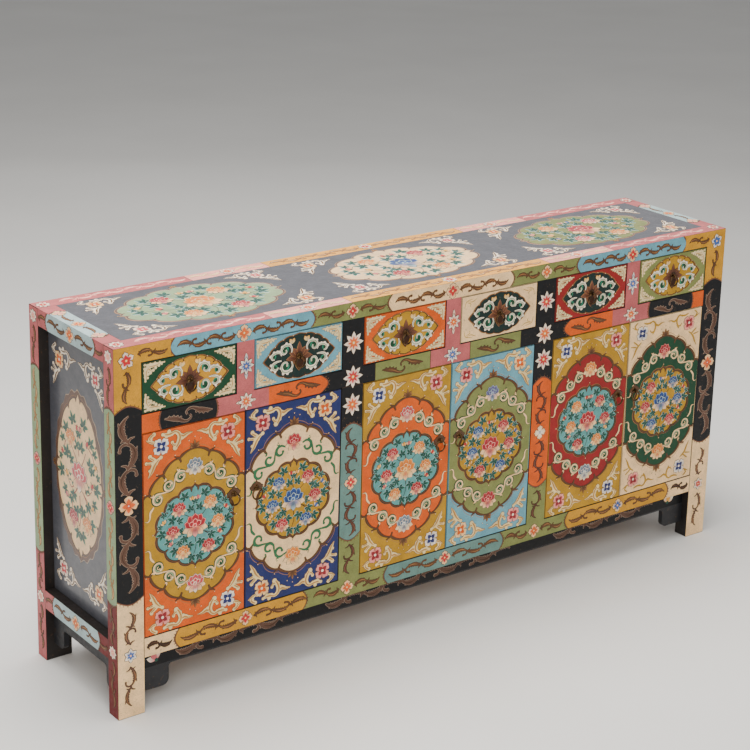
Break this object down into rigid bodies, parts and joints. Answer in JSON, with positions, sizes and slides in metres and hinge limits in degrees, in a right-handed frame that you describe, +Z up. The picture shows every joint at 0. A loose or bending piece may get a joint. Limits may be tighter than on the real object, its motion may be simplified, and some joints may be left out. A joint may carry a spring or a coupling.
{
  "type": "storage cabinet",
  "caption": "Low painted wooden sideboard on square legs, with flush sliding drawers over paired pin-hung doors, bronze ring pulls and Himalayan floral painting.",
  "frame": {"origin": "floor level, at the middle of the object's box, pulls included", "axes": "+Z up, front faces -Y, +X to the viewer's right along the width"},
  "size_m": [1.6, 0.341, 0.756],
  "materials": {
    "painted_frame": "hand-painted, satin varnish, many colours",
    "painted_panel": "charcoal paint with painted medallions, satin varnish",
    "painted_door": "hand-painted medallions, satin varnish, many colours",
    "painted_drawer": "hand-painted medallions, satin varnish, many colours",
    "black_paint": "black paint, satin",
    "bare_wood": "planed, unpainted",
    "bronze": "antiqued, dark patina"
  },
  "bodies": {
    "carcass": {"leg_front_left": "painted_frame", "leg_front_right": "painted_frame", "leg_back_left": "painted_frame", "leg_back_right": "painted_frame", "top_rail_front": "painted_frame", "top_rail_back": "painted_frame", "top_rail_left": "painted_frame", "top_rail_right": "painted_frame", "top_panel": "painted_panel", "mid_rail_front": "painted_frame", "bottom_rail_front": "painted_frame", "bottom_rail_back": "black_paint", "bottom_rail_left": "painted_frame", "bottom_rail_right": "painted_frame", "bay_stile_1": "painted_frame", "bay_stile_2": "painted_frame", "drawer_stile_1": "painted_frame", "drawer_stile_2": "painted_frame", "drawer_stile_3": "painted_frame", "side_panel_left": "painted_panel", "side_panel_right": "painted_panel", "back_panel": "black_paint", "bottom_board": "bare_wood", "drawer_deck": "bare_wood", "partition_1": "bare_wood", "partition_2": "bare_wood", "apron_front": "black_paint", "apron_left": "black_paint", "apron_right": "black_paint"},
    "door_1": {"door_1": "painted_door"},
    "door_ring_1": {"door_ring_1": "bronze"},
    "door_2": {"door_2": "painted_door"},
    "door_ring_2": {"door_ring_2": "bronze"},
    "door_3": {"door_3": "painted_door"},
    "door_ring_3": {"door_ring_3": "bronze"},
    "door_4": {"door_4": "painted_door"},
    "door_ring_4": {"door_ring_4": "bronze"},
    "door_5": {"door_5": "painted_door"},
    "door_ring_5": {"door_ring_5": "bronze"},
    "door_6": {"door_6": "painted_door"},
    "door_ring_6": {"door_ring_6": "bronze"},
    "drawer_1": {"drawer_front_1": "painted_drawer", "drawer_box_1": "bare_wood"},
    "drawer_ring_1": {"drawer_ring_1": "bronze"},
    "drawer_2": {"drawer_front_2": "painted_drawer", "drawer_box_2": "bare_wood"},
    "drawer_ring_2": {"drawer_ring_2": "bronze"},
    "drawer_3": {"drawer_front_3": "painted_drawer", "drawer_box_3": "bare_wood"},
    "drawer_ring_3": {"drawer_ring_3": "bronze"},
    "drawer_4": {"drawer_front_4": "painted_drawer", "drawer_box_4": "bare_wood"},
    "drawer_ring_4": {"drawer_ring_4": "bronze"},
    "drawer_5": {"drawer_front_5": "painted_drawer", "drawer_box_5": "bare_wood"},
    "drawer_ring_5": {"drawer_ring_5": "bronze"},
    "drawer_6": {"drawer_front_6": "painted_drawer", "drawer_box_6": "bare_wood"},
    "drawer_ring_6": {"drawer_ring_6": "bronze"}
  },
  "joints": [
    {"name": "door_1_hinge", "type": "hinge", "parent": "carcass", "child": "door_1", "pos_m": [-0.7265, -0.1535, 0.369], "axis": [0, 0, -1], "range_deg": [0, 90]},
    {"name": "door_2_hinge", "type": "hinge", "parent": "carcass", "child": "door_2", "pos_m": [-0.2975, -0.1535, 0.369], "axis": [0, 0, 1], "range_deg": [0, 90]},
    {"name": "door_3_hinge", "type": "hinge", "parent": "carcass", "child": "door_3", "pos_m": [-0.2145, -0.1535, 0.369], "axis": [0, 0, -1], "range_deg": [0, 90]},
    {"name": "door_4_hinge", "type": "hinge", "parent": "carcass", "child": "door_4", "pos_m": [0.2145, -0.1535, 0.369], "axis": [0, 0, 1], "range_deg": [0, 90]},
    {"name": "door_5_hinge", "type": "hinge", "parent": "carcass", "child": "door_5", "pos_m": [0.2975, -0.1535, 0.369], "axis": [0, 0, -1], "range_deg": [0, 90]},
    {"name": "door_6_hinge", "type": "hinge", "parent": "carcass", "child": "door_6", "pos_m": [0.7265, -0.1535, 0.369], "axis": [0, 0, 1], "range_deg": [0, 90]},
    {"name": "drawer_1_slide", "type": "slide", "parent": "carcass", "child": "drawer_1", "axis": [0, -1, 0], "range_m": [0, 0.2]},
    {"name": "drawer_2_slide", "type": "slide", "parent": "carcass", "child": "drawer_2", "axis": [0, -1, 0], "range_m": [0, 0.2]},
    {"name": "drawer_3_slide", "type": "slide", "parent": "carcass", "child": "drawer_3", "axis": [0, -1, 0], "range_m": [0, 0.2]},
    {"name": "drawer_4_slide", "type": "slide", "parent": "carcass", "child": "drawer_4", "axis": [0, -1, 0], "range_m": [0, 0.2]},
    {"name": "drawer_5_slide", "type": "slide", "parent": "carcass", "child": "drawer_5", "axis": [0, -1, 0], "range_m": [0, 0.2]},
    {"name": "drawer_6_slide", "type": "slide", "parent": "carcass", "child": "drawer_6", "axis": [0, -1, 0], "range_m": [0, 0.2]},
    {"name": "door_ring_1_hinge", "type": "hinge", "parent": "door_1", "child": "door_ring_1", "pos_m": [-0.53825, -0.167, 0.4129], "axis": [-1, 0, 0], "range_deg": [0, 180]},
    {"name": "drawer_ring_1_hinge", "type": "hinge", "parent": "drawer_1", "child": "drawer_ring_1", "pos_m": [-0.63675, -0.167, 0.6679], "axis": [-1, 0, 0], "range_deg": [0, 180]},
    {"name": "door_ring_2_hinge", "type": "hinge", "parent": "door_2", "child": "door_ring_2", "pos_m": [-0.48575, -0.167, 0.4129], "axis": [-1, 0, 0], "range_deg": [0, 180]},
    {"name": "drawer_ring_2_hinge", "type": "hinge", "parent": "drawer_2", "child": "drawer_ring_2", "pos_m": [-0.38725, -0.167, 0.6679], "axis": [-1, 0, 0], "range_deg": [0, 180]},
    {"name": "door_ring_3_hinge", "type": "hinge", "parent": "door_3", "child": "door_ring_3", "pos_m": [-0.02625, -0.167, 0.4129], "axis": [-1, 0, 0], "range_deg": [0, 180]},
    {"name": "drawer_ring_3_hinge", "type": "hinge", "parent": "drawer_3", "child": "drawer_ring_3", "pos_m": [-0.12475, -0.167, 0.6679], "axis": [-1, 0, 0], "range_deg": [0, 180]},
    {"name": "door_ring_4_hinge", "type": "hinge", "parent": "door_4", "child": "door_ring_4", "pos_m": [0.02625, -0.167, 0.4129], "axis": [-1, 0, 0], "range_deg": [0, 180]},
    {"name": "drawer_ring_4_hinge", "type": "hinge", "parent": "drawer_4", "child": "drawer_ring_4", "pos_m": [0.12475, -0.167, 0.6679], "axis": [-1, 0, 0], "range_deg": [0, 180]},
    {"name": "door_ring_5_hinge", "type": "hinge", "parent": "door_5", "child": "door_ring_5", "pos_m": [0.48575, -0.167, 0.4129], "axis": [-1, 0, 0], "range_deg": [0, 180]},
    {"name": "drawer_ring_5_hinge", "type": "hinge", "parent": "drawer_5", "child": "drawer_ring_5", "pos_m": [0.38725, -0.167, 0.6679], "axis": [-1, 0, 0], "range_deg": [0, 180]},
    {"name": "door_ring_6_hinge", "type": "hinge", "parent": "door_6", "child": "door_ring_6", "pos_m": [0.53825, -0.167, 0.4129], "axis": [-1, 0, 0], "range_deg": [0, 180]},
    {"name": "drawer_ring_6_hinge", "type": "hinge", "parent": "drawer_6", "child": "drawer_ring_6", "pos_m": [0.63675, -0.167, 0.6679], "axis": [-1, 0, 0], "range_deg": [0, 180]}
  ]
}
